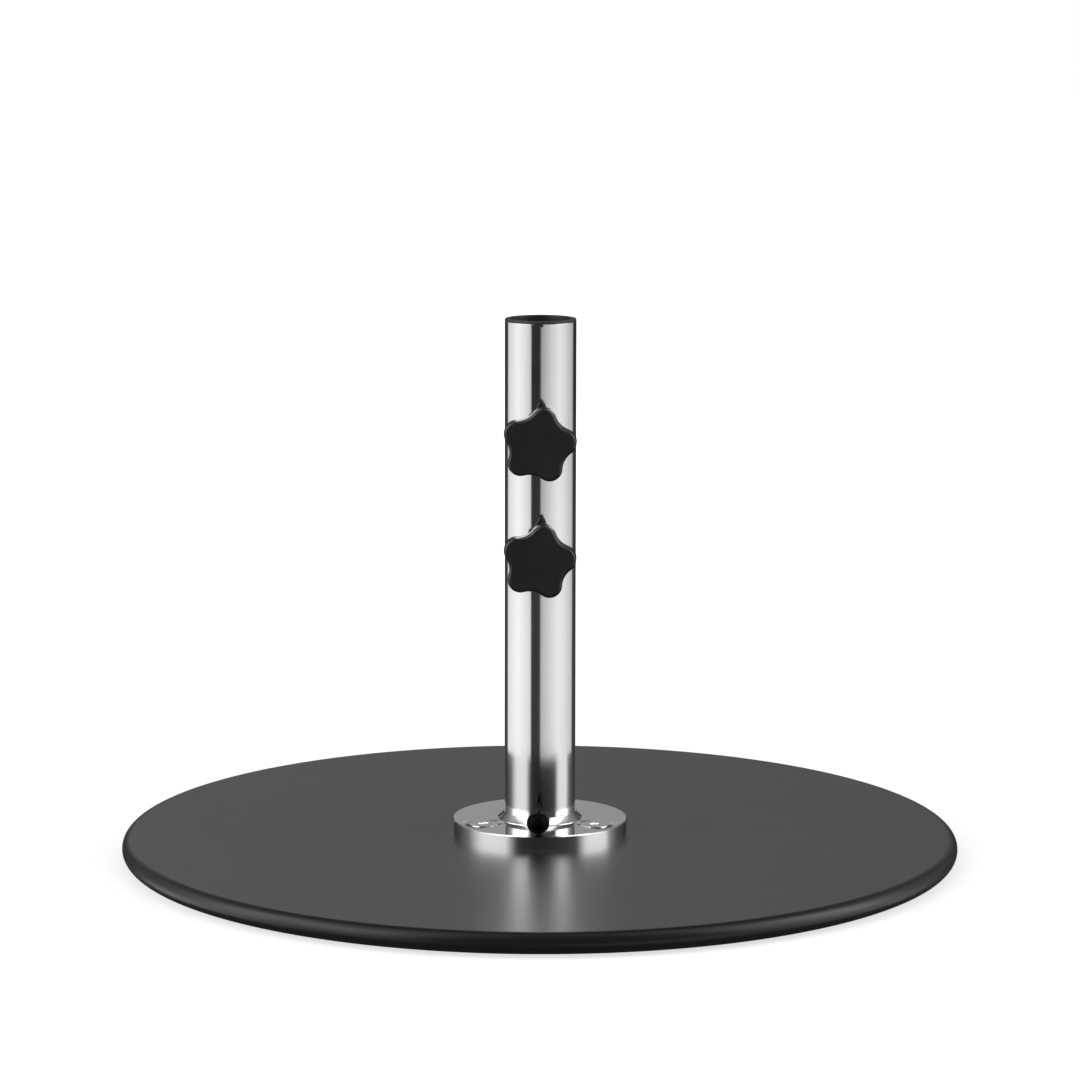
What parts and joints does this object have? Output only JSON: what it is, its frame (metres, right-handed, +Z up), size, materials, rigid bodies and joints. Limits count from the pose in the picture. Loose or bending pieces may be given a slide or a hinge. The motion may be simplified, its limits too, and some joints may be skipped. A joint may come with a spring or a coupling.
{
  "type": "parasol base",
  "caption": "Free-standing parasol base: heavy round plate, screwed-on flange and upright tube with clamp screws that hold the parasol's pole.",
  "frame": {"origin": "on the ground, on the tube's axis", "axes": "+Z up along the tube; the clamp screws stand out towards -Y, the front"},
  "size_m": [0.5999, 0.6, 0.3865],
  "materials": {
    "plate_coat": "satin black powder coat on steel",
    "pad_rubber": "matte moulded rubber",
    "polished_steel": "mirror-polished steel",
    "screw_steel": "bright turned steel",
    "liner_plastic": "matte black moulded plastic",
    "knob_plastic": "satin black moulded plastic",
    "ball_plastic": "black thermoset plastic",
    "insert_brass": "turned brass",
    "stud_steel": "zinc-plated threaded steel",
    "black_steel": "black-oxide threaded steel",
    "pad_plastic": "natural moulded nylon"
  },
  "bodies": {
    "stand": {"base_plate": "plate_coat", "foot_pads": "pad_rubber", "plate_flange": "polished_steel", "flange_screws": "screw_steel", "stand_tube": "polished_steel", "foot_weld": "polished_steel", "pole_liner": "liner_plastic", "foot_bush": "liner_plastic", "pole_stop": "liner_plastic", "boss_welds": "polished_steel", "upper_boss": "polished_steel", "lower_boss": "polished_steel"},
    "upper_pad": {"upper_pad": "pad_plastic"},
    "upper_clamp": {"upper_knob": "knob_plastic", "upper_insert": "insert_brass", "upper_stud": "stud_steel"},
    "lower_pad": {"lower_pad": "pad_plastic"},
    "lower_clamp": {"lower_knob": "knob_plastic", "lower_insert": "insert_brass", "lower_stud": "stud_steel"},
    "ball_tip": {"ball_tip": "black_steel"},
    "ball_screw": {"ball_knob": "ball_plastic", "ball_stud": "black_steel"}
  },
  "joints": [
    {"name": "upper_feed", "type": "slide", "parent": "stand", "child": "upper_pad", "axis": [0, 1, 0], "range_m": [-0.00151, 0.00451]},
    {"name": "upper_turn", "type": "hinge", "parent": "upper_pad", "child": "upper_clamp", "pos_m": [0, -0.048, 0.3022], "axis": [0, 1, 0], "range_deg": [-360, 1080]},
    {"name": "lower_feed", "type": "slide", "parent": "stand", "child": "lower_pad", "axis": [0, 1, 0], "range_m": [-0.00151, 0.00451]},
    {"name": "lower_turn", "type": "hinge", "parent": "lower_pad", "child": "lower_clamp", "pos_m": [0, -0.048, 0.2197], "axis": [0, 1, 0], "range_deg": [-360, 1080]},
    {"name": "ball_feed", "type": "slide", "parent": "stand", "child": "ball_tip", "axis": [0, 1, 0], "range_m": [-0.00081, 0.00481]},
    {"name": "ball_turn", "type": "hinge", "parent": "ball_tip", "child": "ball_screw", "pos_m": [0, -0.057, 0.0341], "axis": [0, 1, 0], "range_deg": [-360, 2160]}
  ],
  "couplings": [
    {"joint": "upper_feed", "follows": "upper_turn", "m_per_rad": 0.00023873},
    {"joint": "lower_feed", "follows": "lower_turn", "m_per_rad": 0.00023873},
    {"joint": "ball_feed", "follows": "ball_turn", "m_per_rad": 0.00012732}
  ]
}
